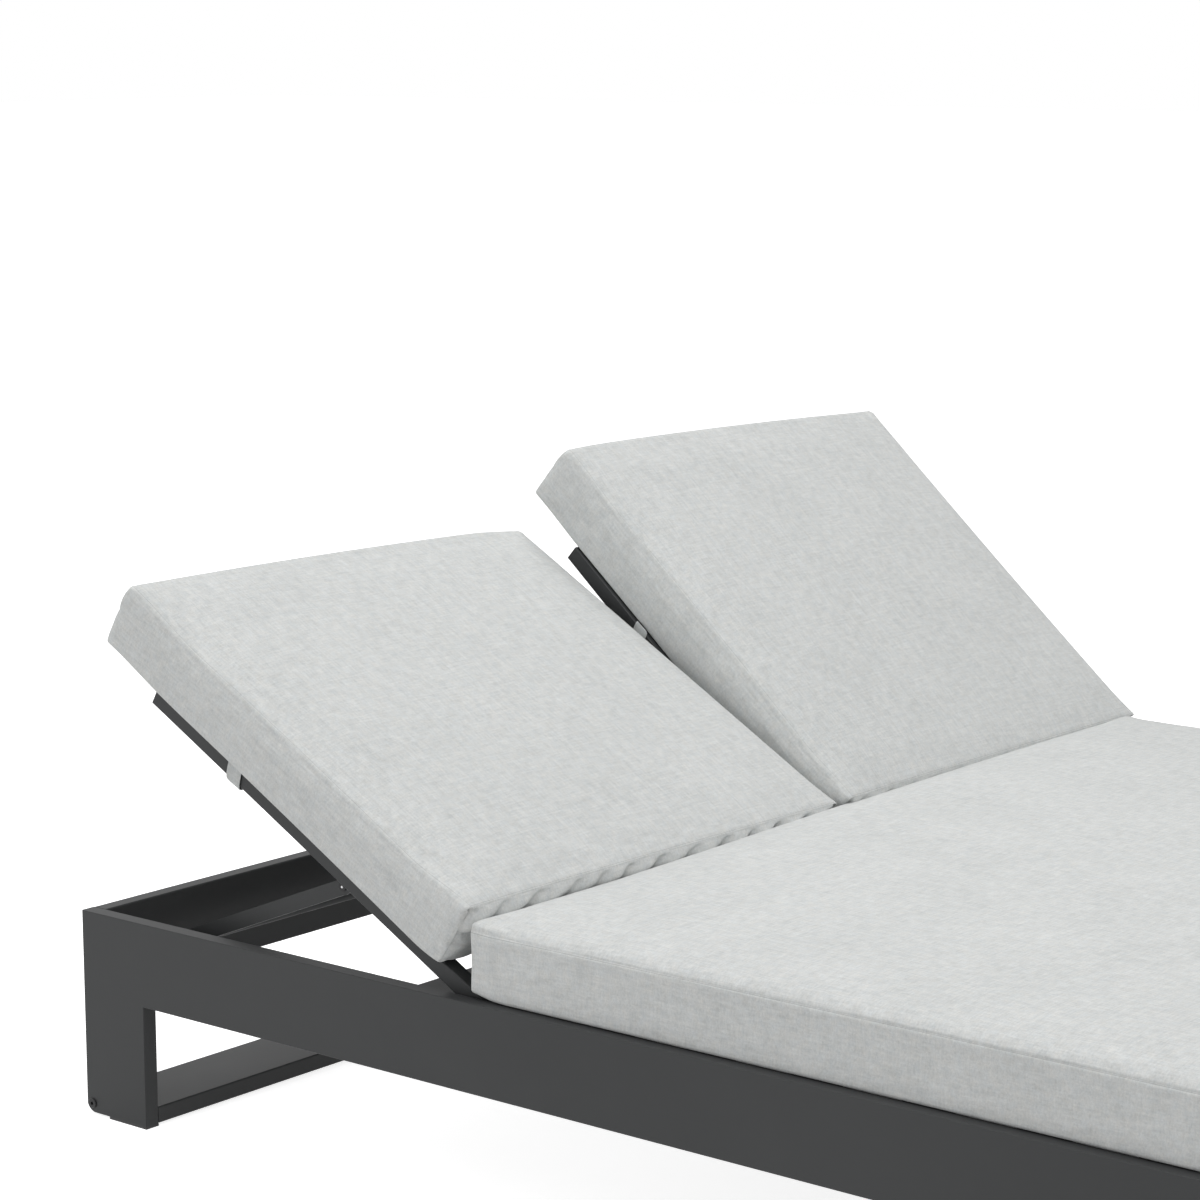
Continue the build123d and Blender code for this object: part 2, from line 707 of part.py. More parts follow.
def backrest_nodes(name, side, recline):
    outer_span = (back_tube_outer - back_tube, back_tube_outer)
    inner_span = (back_tube_inner, back_tube_inner + back_tube)
    flat = {
        "back_outer_tube": back_side_tube(side, outer_span),
        "back_inner_tube": back_side_tube(side, inner_span),
        "back_top_tube": back_cross_tube(side, back_tube_length - back_tube),
        "back_bottom_tube": back_cross_tube(side, back_bottom_tube_from_hinge),
        "back_slats": Compound(back_slats(side)),
        "back_tube_caps": Compound(tube_caps(side)),
        "stay_lugs": Compound(stay_lugs(side)),
        "stay_rivets": Compound(stay_rivets(side)),
        "back_cushion": back_cushion(side),
        "cushion_straps": Compound(cushion_straps(side)),
    }
    nodes = {f"{name}_{piece}": on_backrest(recline, solid) for piece, solid in flat.items()}
    nodes[f"{name}_stay_arms"] = stay_frame(recline, Compound(stay_arms(side)))
    nodes[f"{name}_stay_bar"] = stay_frame(recline, stay_bar(side))
    return nodes


def main():
    os.makedirs("parts", exist_ok=True)
    nodes = frame_nodes()
    for name, side, recline in both_sides():
        nodes.update(backrest_nodes(name, side, recline))
    for name, piece in nodes.items():
        export_step(piece, f"parts/{name}.step")
    for name, _, recline in both_sides():
        x, z = stay_pivot(recline)
        print(f"{name} recline {recline:.3f}, stay pivot x {x:.3f} z {z:.3f} mm")
    print(f"hinge x {hinge_x:.3f} z {hinge_z:.3f} mm, highest recline {highest_recline:.3f}")


main()
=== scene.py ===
import json
import math

import bpy
from mathutils import Matrix, Vector, noise


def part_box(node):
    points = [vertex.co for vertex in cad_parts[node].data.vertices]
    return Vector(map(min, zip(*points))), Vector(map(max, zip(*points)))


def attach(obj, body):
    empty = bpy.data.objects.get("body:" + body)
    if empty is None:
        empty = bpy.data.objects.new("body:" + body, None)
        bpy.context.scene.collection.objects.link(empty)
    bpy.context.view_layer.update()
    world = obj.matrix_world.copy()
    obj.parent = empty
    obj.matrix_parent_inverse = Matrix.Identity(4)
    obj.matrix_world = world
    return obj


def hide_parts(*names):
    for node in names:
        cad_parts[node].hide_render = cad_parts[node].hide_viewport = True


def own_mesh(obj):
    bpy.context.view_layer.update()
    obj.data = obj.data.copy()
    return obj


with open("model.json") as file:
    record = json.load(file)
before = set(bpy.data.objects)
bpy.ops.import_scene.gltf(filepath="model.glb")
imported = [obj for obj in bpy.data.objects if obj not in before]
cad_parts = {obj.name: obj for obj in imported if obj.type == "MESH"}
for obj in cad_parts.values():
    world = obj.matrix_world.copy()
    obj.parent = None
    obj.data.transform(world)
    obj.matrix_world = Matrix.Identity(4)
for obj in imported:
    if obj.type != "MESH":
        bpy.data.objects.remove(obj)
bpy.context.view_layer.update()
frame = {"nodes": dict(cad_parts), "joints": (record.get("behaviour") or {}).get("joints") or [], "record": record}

NODES = frame["nodes"]
HINGES = {j["name"]: j for j in frame["joints"]}
SIDES = ("near", "far")
SIGN = {"near": -1, "far": 1}
RECLINE = {side: -HINGES[f"{side}_recline"]["range_deg"][0] for side in SIDES}
HALF_WIDTH = round(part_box("far_side_rail")[1].y, 4)
HALF_LENGTH = round(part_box("far_side_rail")[1].x, 4)
HINGE = Vector(HINGES["near_recline"]["pos_m"])


# Cushion sizes in metres. A back cushion's base is above the hinge's axis when flat.
CUSHION_HEIGHT = 0.083
CUSHION_SIDE_INSET = 0.013
CUSHION_MIDDLE_INSET = 0.002
BACK_CUSHION_BASE = 0.0104
SEAT_CUSHION_PAST_HINGE = 0.007
SEAT_SLATS = 11
# The seams' thin lines of painted shade: their half width, and how much they darken the cloth
SEAM_HALF_WIDTH = 0.0006
SEAM_PAINTED_SHADE = 0.30
FAR_FROM_SEAM = 0.05
WEAVE_SCALE = 220.0


# Shader helpers

def new_material(name):
    material = bpy.data.materials.new(name)
    material.use_nodes = True
    tree = material.node_tree
    shader = next(n for n in tree.nodes if n.type == "BSDF_PRINCIPLED")
    return material, tree, shader


def add(tree, kind, **values):
    node = tree.nodes.new(kind)
    for key, value in values.items():
        if key in node.inputs:
            node.inputs[key].default_value = value
        else:
            setattr(node, key, value)
    return node


def link(tree, output, target):
    tree.links.new(output, target)


def math_node(tree, operation, first, second=None, third=None, clamp=False):
    node = tree.nodes.new("ShaderNodeMath")
    node.operation = operation
    node.use_clamp = clamp
    for slot, value in enumerate((first, second, third)):
        if value is None:
            continue
        if isinstance(value, (int, float)):
            node.inputs[slot].default_value = value
        else:
            tree.links.new(value, node.inputs[slot])
    return node.outputs[0]


def mapped(tree, scale):
    coords = add(tree, "ShaderNodeTexCoord")
    mapping = add(tree, "ShaderNodeMapping")
    mapping.inputs["Scale"].default_value = scale
    link(tree, coords.outputs["Object"], mapping.inputs["Vector"])
    return mapping.outputs["Vector"]


def noise_at(tree, scale, size, detail=2.0, rough=0.5):
    node = add(tree, "ShaderNodeTexNoise", Scale=size, Detail=detail, Roughness=rough)
    link(tree, mapped(tree, scale), node.inputs["Vector"])
    return node.outputs["Fac"]


def colour_range(tree, factor, dark, light, low=0.3, high=0.7):
    ramp = add(tree, "ShaderNodeValToRGB")
    ramp.color_ramp.elements[0].position = low
    ramp.color_ramp.elements[1].position = high
    ramp.color_ramp.elements[0].color = (*dark, 1)
    ramp.color_ramp.elements[1].color = (*light, 1)
    link(tree, factor, ramp.inputs["Fac"])
    return ramp.outputs["Color"]


def multiply_colours(tree, first, second):
    node = add(tree, "ShaderNodeMix", data_type="RGBA", blend_type="MULTIPLY")
    node.inputs["Factor"].default_value = 1.0
    link(tree, first, node.inputs["A"])
    link(tree, second, node.inputs["B"])
    return node.outputs["Result"]


def bump(tree, shader, height, strength, distance):
    node = add(tree, "ShaderNodeBump", Strength=strength, Distance=distance)
    link(tree, height, node.inputs["Height"])
    link(tree, node.outputs["Normal"], shader.inputs["Normal"])


# Materials

def seam_line(tree, name, width):
    """One where the named distance from a seam is less than this width, and zero elsewhere."""
    distance = add(tree, "ShaderNodeAttribute", attribute_name=name)
    across = math_node(tree, "ABSOLUTE", distance.outputs["Fac"])
    return math_node(tree, "LESS_THAN", across, width)


def fabric_material(name, dark, light):
    """Woven outdoor cloth: heathered yarns run both ways, with a fine weave, and painted shade in a thin line
    along the seams' grooves.
    """
    material, tree, shader = new_material(name)
    warp = noise_at(tree, (40, 420, 300), 1.0, 3.0, 0.62)
    weft = noise_at(tree, (420, 40, 300), 1.0, 3.0, 0.62)
    upright = noise_at(tree, (420, 420, 50), 1.0, 2.0, 0.6)
    fine = noise_at(tree, (1, 1, 1), 560.0, 2.0, 0.7)
    blotch = noise_at(tree, (1, 1, 1), 85.0, 3.0, 0.6)
    cloud = noise_at(tree, (1, 1, 1), 9.0, 2.0, 0.5)
    yarns = math_node(tree, "ADD", warp, weft)
    weights = 2.0
    for pattern, weight in ((upright, 0.5), (fine, 0.7), (blotch, 0.8), (cloud, 0.35)):
        yarns = math_node(tree, "MULTIPLY_ADD", pattern, weight, yarns)
        weights += weight
    tone = math_node(tree, "DIVIDE", yarns, weights)
    colour = colour_range(tree, tone, dark, light, 0.40, 0.60)
    hue = noise_at(tree, (1, 1, 1), 130.0, 3.0, 0.6)
    tint = colour_range(tree, hue, (0.984, 1.0, 1.016), (1.014, 1.0, 0.984))
    tinted = multiply_colours(tree, colour, tint)
    # Painted shade: the cloth is darkened in a thin line along the top and corner seams, standing for the shade in
    # their grooves
    fold = math_node(tree, "MAXIMUM", seam_line(tree, "top_seam", SEAM_HALF_WIDTH),
                     seam_line(tree, "corner_seam", SEAM_HALF_WIDTH))
    shade = math_node(tree, "MULTIPLY_ADD", fold, -SEAM_PAINTED_SHADE, 1.0)
    grey = add(tree, "ShaderNodeCombineColor")
    for channel in ("Red", "Green", "Blue"):
        link(tree, shade, grey.inputs[channel])
    shaded = multiply_colours(tree, tinted, grey.outputs["Color"])
    link(tree, shaded, shader.inputs["Base Color"])
    bands = [add(tree, "ShaderNodeTexWave", wave_type="BANDS", bands_direction=way,
                 Scale=WEAVE_SCALE) for way in ("X", "Y")]
    for band in bands:
        link(tree, mapped(tree, (1, 1, 1)), band.inputs["Vector"])
    weave = math_node(tree, "MULTIPLY", bands[0].outputs["Fac"], bands[1].outputs["Fac"])
    height = math_node(tree, "MULTIPLY_ADD", tone, 1.6, weave)
    bump(tree, shader, height, 0.35, 0.0004)
    shader.inputs["Roughness"].default_value = 0.92
    shader.inputs["Specular IOR Level"].default_value = 0.25
    shader.inputs["Sheen Weight"].default_value = 0.15
    shader.inputs["Sheen Roughness"].default_value = 0.5
    return material


def coat_material(name, dark, light, rough=0.5):
    """Powder coat: a fine orange-peel skin with faint cloudiness."""
    material, tree, shader = new_material(name)
    cloud = noise_at(tree, (1, 1, 1), 5.0, 3.0, 0.55)
    link(tree, colour_range(tree, cloud, dark, light), shader.inputs["Base Color"])
    grain = noise_at(tree, (1, 1, 1), 900.0, 2.0, 0.6)
    peel = noise_at(tree, (1, 1, 1), 260.0, 1.0, 0.5)
    height = math_node(tree, "MULTIPLY_ADD", grain, 0.6, peel)
    bump(tree, shader, height, 0.18, 0.0003)
    spread = math_node(tree, "MULTIPLY_ADD", cloud, 0.12, rough - 0.06)
    link(tree, spread, shader.inputs["Roughness"])
    shader.inputs["Specular IOR Level"].default_value = 0.27
    return material


def plastic_material(name, colour, rough):
    material, tree, shader = new_material(name)
    cloud = noise_at(tree, (1, 1, 1), 40.0, 2.0, 0.5)
    light = tuple(c * 1.35 for c in colour)
    link(tree, colour_range(tree, cloud, colour, light), shader.inputs["Base Color"])
    grain = noise_at(tree, (1, 1, 1), 1500.0, 2.0, 0.6)
    bump(tree, shader, grain, 0.2, 0.0002)
    shader.inputs["Roughness"].default_value = rough
    return material


def metal_material(name, colour, rough):
    material, tree, shader = new_material(name)
    brushed = noise_at(tree, (2500, 60, 60), 1.0, 2.0, 0.6)
    light = tuple(min(1.0, c * 1.3) for c in colour)
    link(tree, colour_range(tree, brushed, colour, light), shader.inputs["Base Color"])
    spread = math_node(tree, "MULTIPLY_ADD", brushed, 0.15, rough)
    link(tree, spread, shader.inputs["Roughness"])
    bump(tree, shader, brushed, 0.1, 0.0001)
    shader.inputs["Metallic"].default_value = 1.0
    return material


FABRIC = fabric_material("woven_cloth", (0.535, 0.550, 0.545), (0.725, 0.735, 0.725))
STRAP_FABRIC = fabric_material("strap_cloth", (0.47, 0.485, 0.48), (0.64, 0.655, 0.65))
COAT = coat_material("charcoal_coat", (0.034, 0.0355, 0.0365), (0.042, 0.0435, 0.0445))
PLASTIC = plastic_material("black_plastic", (0.012, 0.012, 0.013), 0.5)
RUBBER = plastic_material("wheel_rubber", (0.018, 0.018, 0.019), 0.75)
BLACK_STEEL = coat_material("black_steel", (0.012, 0.012, 0.013), (0.020, 0.020, 0.021), 0.35)
BRIGHT = metal_material("bright_steel", (0.60, 0.60, 0.61), 0.28)
# The stay rivets' heads are dark, and only the pins in them are bright.
SLOT_MATERIALS = {
    "charcoal_coat": COAT,
    "black_plastic": PLASTIC,
    "black_steel": BLACK_STEEL,
    "bright_steel": BLACK_STEEL,
    "wheel_tyre": RUBBER,
    "cushion_fabric": FABRIC,
}


def dress_nodes():
    for entry in frame["record"]["subparts"]:
        mesh = NODES[entry["node"]].data
        mesh.materials.clear()
        mesh.materials.append(SLOT_MATERIALS[entry["material_slot"]])


# Mesh helpers

def mesh_object(name, vertices, faces, material, smooth=True):
    mesh = bpy.data.meshes.new(name)
    mesh.from_pydata([tuple(v) for v in vertices], [], faces)
    mesh.update()
    if smooth:
        mesh.polygons.foreach_set("use_smooth", [True] * len(mesh.polygons))
    mesh.materials.append(material)
    piece = bpy.data.objects.new(name, mesh)
    bpy.context.scene.collection.objects.link(piece)
    return piece


def set_attribute(mesh, label, values):
    """Store one number for each vertex under this name."""
    attribute = mesh.attributes.new(label, "FLOAT", "POINT")
    attribute.data.foreach_set("value", values)


def back_matrix(side):
    """From a flat backrest with the hinge at the origin to its place at rest."""
    return Matrix.Translation(HINGE) @ Matrix.Rotation(math.radians(RECLINE[side]), 4, "Y")


def smooth_step(value):
    value = min(1.0, max(0.0, value))
    return value * value * (3 - 2 * value)


def ridge(distance, width):
    """One at no distance, falling away over about this width."""
    return math.exp(-(distance / width) ** 2)


def fold_noise(x, y, seed, scale):
    return noise.noise(Vector((x * scale, y * scale, seed)))


# Cushions

MARK_SHIFTS = (0.0, -0.0012, 0.0012, -0.003, 0.003)
ROUND_SHARES = (0.12, 0.3, 0.52, 0.76, 1.0)
LEAST_LINE_GAP = 0.0009
SHOULDER_LINES = (0.0075, 0.010)
UPRIGHT_STEP = 0.007


def axis_lines(low, high, step, corners, marks=(), extra=()):
    """Grid lines from low to high: close together at the rounded ends and at the marks."""
    lines = [round(mark + shift, 6) for mark in marks for shift in MARK_SHIFTS]
    lines = [line for line in lines if low <= line <= high]
    others = [low, high]
    for share in ROUND_SHARES:
        others.append(low + corners[0] * share)
        others.append(high - corners[1] * share)
    others.extend(extra)
    start, stop = low + corners[0], high - corners[1]
    count = max(1, round((stop - start) / step))
    others.extend(start + (stop - start) * index / count for index in range(1, count))
    for place in others:
        if all(abs(place - line) > LEAST_LINE_GAP for line in lines):
            lines.append(round(place, 6))
    return sorted(lines)


def box_shell(xs, ys, zs):
    """A closed box of quads on the given grid lines, as vertices and faces."""
    index = {}
    vertices = []
    faces = []

    def vertex(i, j, k):
        key = (i, j, k)
        if key not in index:
            index[key] = len(vertices)
            vertices.append(Vector((xs[i], ys[j], zs[k])))
        return index[key]

    nx, ny, nz = len(xs) - 1, len(ys) - 1, len(zs) - 1
    for i in range(nx):
        for j in range(ny):
            faces.append((vertex(i, j, nz), vertex(i + 1, j, nz), vertex(i + 1, j + 1, nz),
                          vertex(i, j + 1, nz)))
            faces.append((vertex(i, j, 0), vertex(i, j + 1, 0), vertex(i + 1, j + 1, 0),
                          vertex(i + 1, j, 0)))
    for i in range(nx):
        for k in range(nz):
            faces.append((vertex(i, 0, k), vertex(i + 1, 0, k), vertex(i + 1, 0, k + 1),
                          vertex(i, 0, k + 1)))
            faces.append((vertex(i, ny, k), vertex(i, ny, k + 1), vertex(i + 1, ny, k + 1),
                          vertex(i + 1, ny, k)))
    for j in range(ny):
        for k in range(nz):
            faces.append((vertex(0, j, k), vertex(0, j, k + 1), vertex(0, j + 1, k + 1),
                          vertex(0, j + 1, k)))
            faces.append((vertex(nx, j, k), vertex(nx, j + 1, k), vertex(nx, j + 1, k + 1),
                          vertex(nx, j, k + 1)))
    return vertices, faces


# Shares of the height over which the plan's corners widen, and reaches of the crisper ends
TOP_WIDENS_FROM, TOP_WIDENS_OVER = 0.72, 0.24
BASE_WIDENS_FROM, BASE_WIDENS_OVER = 0.15, 0.1
CRISP_HEAD_REACH, CRISP_FOOT_REACH = 0.08, 0.05


def rounded(raw, low, high, radii):
    """Pull a point on a box's surface in to rounded edges; also give the way out of it there."""
    height = (raw.z - low.z) / (high.z - low.z)
    share = smooth_step((height - TOP_WIDENS_FROM) / TOP_WIDENS_OVER)
    base_share = smooth_step((BASE_WIDENS_FROM - height) / BASE_WIDENS_OVER)
    end_radius = radii["head"] if raw.x < (low.x + high.x) / 2 else radii["foot"]
    crisp = 1 - radii["crisp_head"] * (1 - smooth_step((raw.x - low.x) / CRISP_HEAD_REACH))
    crisp *= 1 - radii["crisp_foot"] * (1 - smooth_step((high.x - raw.x) / CRISP_FOOT_REACH))
    low_plan = radii["plan"] + (radii["below"] - radii["plan"]) * base_share
    along = low_plan + (end_radius - low_plan) * share
    across = low_plan + (radii["side"] * crisp - low_plan) * share
    upright = radii["top"] * crisp if height > 0.5 else radii["below"]
    inner = Vector((min(max(raw.x, low.x + along), high.x - along),
                    min(max(raw.y, low.y + across), high.y - across),
                    min(max(raw.z, low.z + upright), high.z - upright)))
    away = raw - inner
    unit = Vector((away.x / along, away.y / across, away.z / upright)).normalized()
    point = inner + Vector((unit.x * along, unit.y * across, unit.z * upright))
    outward = Vector((unit.x / along, unit.y / across, unit.z / upright)).normalized()
    return point, outward


class Place:
    """Where a point lies on the cushion: its shares along, across and up, and its face."""

    def __init__(self, raw, low, high):
        middle = (low + high) / 2
        half = (high - low) / 2
        self.raw = raw
        self.u = (raw.x - middle.x) / half.x
        self.v = (raw.y - middle.y) / half.y
        self.h = (raw.z - low.z) / (high.z - low.z)
        self.on_side = abs(abs(self.v) - 1) < 1e-6
        self.on_end = abs(abs(self.u) - 1) < 1e-6
        self.from_side = min(raw.y - low.y, high.y - raw.y)
        self.from_end = min(raw.x - low.x, high.x - raw.x)
        self.below_top = high.z - raw.z
        self.from_head = raw.x - low.x
        self.from_foot = high.x - raw.x
        self.from_low_side = raw.y - low.y
        self.from_high_side = high.y - raw.y


def seam_distances(place, seam):
    """How far a point is outside or below the top seam, and past the nearest corner seam."""
    edge = place.on_side or place.on_end
    if "drop" in seam:
        top = place.below_top - seam["drop"]
        if not edge:
            inside = -seam["drop"] - min(place.from_side, place.from_end)
            top = FAR_FROM_SEAM if place.h < 0.5 else inside
        covered = place.below_top > seam["drop"]
    else:
        top = max(seam["side"] - place.from_side, seam["end"] - place.from_end)
        if edge:
            top = seam["end"] + place.below_top
        elif place.h < 0.5:
            top = FAR_FROM_SEAM
        covered = True
    corner = FAR_FROM_SEAM
    if covered and place.on_side:
        corner = place.from_end
    elif covered and place.on_end:
        corner = -place.from_side
    return top, corner


SIMULATED_FRAMES = 20


def simulate(piece, held, pressure, cap):
    """Blow the cushion up a little as cloth, and cap how far it moves."""
    start = [v.co.copy() for v in piece.data.vertices]
    group = piece.vertex_groups.new(name="held")
    for number, weight in held.items():
        group.add([number], weight, "REPLACE")
    cloth = piece.modifiers.new("cloth", "CLOTH")
    settings = cloth.settings
    settings.quality = 4
    settings.mass = 0.25
    settings.tension_stiffness = 18
    settings.compression_stiffness = 12
    settings.shear_stiffness = 6
    settings.bending_stiffness = 0.6
    settings.use_pressure = True
    settings.uniform_pressure_force = pressure
    settings.effector_weights.gravity = 0
    settings.vertex_group_mass = "held"
    settings.pin_stiffness = 1.0
    cloth.collision_settings.use_collision = False
    cloth.point_cache.frame_start = 1
    cloth.point_cache.frame_end = SIMULATED_FRAMES
    scene = bpy.context.scene
    for frame_number in range(1, SIMULATED_FRAMES + 1):
        scene.frame_set(frame_number)
    graph = bpy.context.evaluated_depsgraph_get()
    settled = piece.evaluated_get(graph).data
    moved = [v.co.copy() for v in settled.vertices]
    piece.modifiers.remove(cloth)
    piece.vertex_groups.remove(group)
    scene.frame_set(1)
    for vertex, old, new in zip(piece.data.vertices, start, moved):
        step = new - old
        if step.length > cap:
            step = step.normalized() * cap
        vertex.co = old + step
    piece.data.update()


def corner_blend(corners, u, v):
    """Blend a shift given at the four corners: head low, head high, foot low, foot high side."""
    head = (1 - u) / 2
    low = (1 - v) / 2
    shift = Vector((0, 0, 0))
    for value, along, across in zip(corners, (head, head, 1 - head, 1 - head),
                                    (low, 1 - low, low, 1 - low)):
        shift += Vector(value) * along * across
    return shift


# What the simulation holds: the base wholly, and the top seam in part
HELD_BASE_HEIGHT = 0.006
HELD_SEAM_WIDTH, HELD_SEAM_WEIGHT = 0.0015, 0.55

# The cloth swells on both sides of a seam's groove
SWELL, SWELL_FROM_SEAM, SWELL_WIDTH = 0.0004, 0.005, 0.003
GROOVE_WIDTH = 0.0018


def swell_share(place):
    """One at the top of the cushion, zero near its base."""
    return smooth_step(place.h * 1.4 - 0.2)


def upper_share(place):
    """One at the top of the cushion, zero at three eighths of its height and below."""
    return smooth_step(place.h * 1.6 - 0.6)


def crown(point, place, options):
    """Raise the top, draw the sides in at their waist and bow them in between the corners."""
    u, v, h = place.u, place.v, place.h
    lift = options["crown"] * (1 - abs(u) ** 3) * (1 - abs(v) ** 3)
    lift += options["end_crown"] * (1 - v * v) * abs(u) ** 6
    lift += options["side_crown"] * (1 - u * u) * abs(v) ** 6
    point.z += lift * swell_share(place)
    waist = options["draw"] * 4 * h * (1 - h)
    if place.on_side:
        point.y -= math.copysign(waist, v)
    if place.on_end:
        point.x -= math.copysign(waist, u)
    point.y -= math.copysign(options["side_bow"] * (1 - u * u) * abs(v) ** 5, v)


def make_cushion(name, low, high, options):
    """A box cushion in its own frame, with its seams, puckers and the folds of its cloth."""
    radii = options["radii"]
    seam = options["seam"]
    step_x, step_y = options["steps"]
    xs = axis_lines(low.x, high.x, step_x, (radii["head"], radii["foot"]),
                    [low.x + seam["end"], high.x - seam["end"]] if "end" in seam else [],
                    options.get("extra_x", ()))
    ys = axis_lines(low.y, high.y, step_y, (radii["side"], radii["side"]),
                    [low.y + seam["side"], high.y - seam["side"]] if "side" in seam else [],
                    [low.y + line for line in SHOULDER_LINES]
                    + [high.y - line for line in SHOULDER_LINES])
    zs = axis_lines(low.z, high.z, UPRIGHT_STEP, (radii["below"], radii["top"]),
                    [high.z - drop for drop in options["drops"]])
    vertices, faces = box_shell(xs, ys, zs)
    places = [Place(raw, low, high) for raw in vertices]
    seams = [seam_distances(place, seam) for place in places]
    held = {}
    for number, (place, (top, _)) in enumerate(zip(places, seams)):
        if place.raw.z < low.z + HELD_BASE_HEIGHT:
            held[number] = 1.0
        elif abs(top) < HELD_SEAM_WIDTH:
            held[number] = HELD_SEAM_WEIGHT
    shaped = [rounded(raw, low, high, radii) for raw in vertices]
    piece = mesh_object(name, [point for point, _ in shaped], faces, FABRIC)
    simulate(piece, held, options["pressure"], options["cap"])
    for vertex, place, (top, corner), (_, outward) in zip(piece.data.vertices, places, seams, shaped):
        point = vertex.co
        crown(point, place, options)
        swell = ridge(top - SWELL_FROM_SEAM, SWELL_WIDTH) + ridge(top + SWELL_FROM_SEAM, SWELL_WIDTH)
        point += outward * (SWELL * swell - options["groove"] * ridge(top, GROOVE_WIDTH))
        options["shape"](point, place, corner)
        point += corner_blend(options["corners"], place.u, place.v)
    mesh = piece.data
    for label, column, scale in (("top_seam", 0, options["seam_fade"]), ("corner_seam", 1, 1.0)):
        set_attribute(mesh, label, [pair[column] * scale for pair in seams])
    mesh.update()
    smoothing = piece.modifiers.new("smooth", "SUBSURF")
    smoothing.levels = 1
    smoothing.render_levels = 1
    return piece


# A back cushion's lower end panel: slanted folds per metre, and the depths of what it has
FOLDS_ACROSS, FOLDS_UP = 118, 185
FOLD_WANDER, FOLD_WANDER_SCALE = 2.2, 9.0
FOLD_SHARPNESS, FOLD_MIDDLE = 0.8, 0.62
FOLD_LEAST, FOLD_CHANGE, FOLD_CHANGE_SCALE, FOLD_CHANGE_FLATTER = 0.75, 0.7, 7.0, 0.3
FOLDS_START, FOLDS_RISE_OVER = 0.001, 0.006
FOLDS_FADE, FOLDS_FADE_FROM, FOLDS_FADE_OVER = 0.75, 0.020, 0.030
RUMPLE, RUMPLE_SCALE = 0.0012, 75.0
PANEL_SIDE_START, PANEL_SIDE_OVER = 0.003, 0.012
PANEL_ROLL, ROLL_HEIGHT, ROLL_FADES_OVER = 0.0055, 0.013, 0.03
BELLY, BELLY_REACHED_AT = 0.003, 0.03
CREASES = ((0.036, 0.0042), (0.052, 0.0034))
CREASE_HEIGHT, CREASE_FROM_SIDE, CREASE_LENGTH = 0.0032, 0.005, 0.016


def slack_panel(point, place, seed, slack):
    """Bulge a back cushion's lower end panel and gather its slack cloth in slanted folds."""
    raw = place.raw
    below = place.below_top
    wander = FOLD_WANDER * fold_noise(raw.y, raw.z, seed, FOLD_WANDER_SCALE)
    turn = 0.5 * (raw.y * FOLDS_ACROSS - raw.z * FOLDS_UP + wander)
    fold = abs(math.sin(turn)) ** FOLD_SHARPNESS
    change = fold_noise(raw.y, FOLD_CHANGE_FLATTER * raw.z, seed + 2, FOLD_CHANGE_SCALE)
    depth = slack * (FOLD_LEAST + FOLD_CHANGE * change)
    small = fold_noise(raw.y, raw.z, seed + 5, RUMPLE_SCALE)
    inside = smooth_step((place.from_side - PANEL_SIDE_START) / PANEL_SIDE_OVER)
    band = smooth_step((below - FOLDS_START) / FOLDS_RISE_OVER) * inside
    band *= 1 - FOLDS_FADE * smooth_step((below - FOLDS_FADE_FROM) / FOLDS_FADE_OVER)
    roll = math.sin(0.5 * math.pi * min(1.0, below / ROLL_HEIGHT))
    roll *= 1 - smooth_step((below - ROLL_HEIGHT) / ROLL_FADES_OVER)
    bulge = PANEL_ROLL * roll + BELLY * smooth_step(below / BELLY_REACHED_AT)
    point.x += bulge * inside + (depth * (fold - FOLD_MIDDLE) + RUMPLE * small) * band
    for drop, deep in CREASES:
        along = ridge(place.from_side - CREASE_FROM_SIDE, CREASE_LENGTH)
        point.x -= deep * ridge(below - drop, CREASE_HEIGHT) * along


# A back cushion's top: it dips along its near edge between the ends, and a little at its foot
DIP_WIDTH, DIP_FROM_HEAD, DIP_FROM_FOOT = 0.085, 0.13, 0.10
FOOT_DIP = 0.003
OUTER_BOW_WIDTH = 0.06
PUSH_REACH, PULL_REACH = 0.022, 0.050

# Its underside: the part of the height, and what lifts or hangs there
UNDER_PART = 0.45
HEAD_LIFT, HEAD_LIFT_FROM, HEAD_LIFT_OVER = 0.0024, 0.02, 0.08
HEAD_TUCK, HEAD_TUCK_OVER = 0.0030, 0.04
HANG, HANG_PART, HANG_FROM_HEAD = 0.0022, 0.3, 0.15
HANG_WIDTH, HANG_FADES_OVER = 0.006, 0.005
WORN_LIFT, WORN_TUCK, WORN_REACH = 0.0055, 0.003, 0.045

# Its lower corners: a slot beside the corner seam, and a pinch along it
SLOT_DEPTH, SLOT_FROM_SIDE, SLOT_WIDTH = 0.014, 0.0057, 0.0034
SLOT_DROP, SLOT_HEIGHT = 0.010, 0.0065
PINCH, PINCH_WIDTH, PINCH_START, PINCH_RISE_OVER = 0.0014, 0.0035, 0.003, 0.004
PINCH_MORE, PINCH_DROP, PINCH_HEIGHT, PINCH_PART = 0.0060, 0.009, 0.009, 0.97


def shape_back_top(point, place, side, from_outer, from_inner):
    """Dip the top's edges, and push or pull its two head corners."""
    values = BACK_SIDES[side]
    dip = 1 - smooth_step(place.from_low_side / DIP_WIDTH)
    dip *= smooth_step(place.from_head / DIP_FROM_HEAD) * smooth_step(place.from_foot / DIP_FROM_FOOT)
    point.z -= values["dip"] * dip * upper_share(place)
    if place.u > 0:
        point.z -= FOOT_DIP * (1 - place.v * place.v) * place.u ** 6 * upper_share(place)
    bow = values["outer_bow"] * (1 - place.u ** 2) * ridge(from_outer, OUTER_BOW_WIDTH)
    point.y -= SIGN[side] * bow
    point.x -= values["push"] * ridge(math.hypot(place.from_head, from_outer), PUSH_REACH)
    point.x += values["pull"] * ridge(math.hypot(place.from_head, from_inner), PULL_REACH)


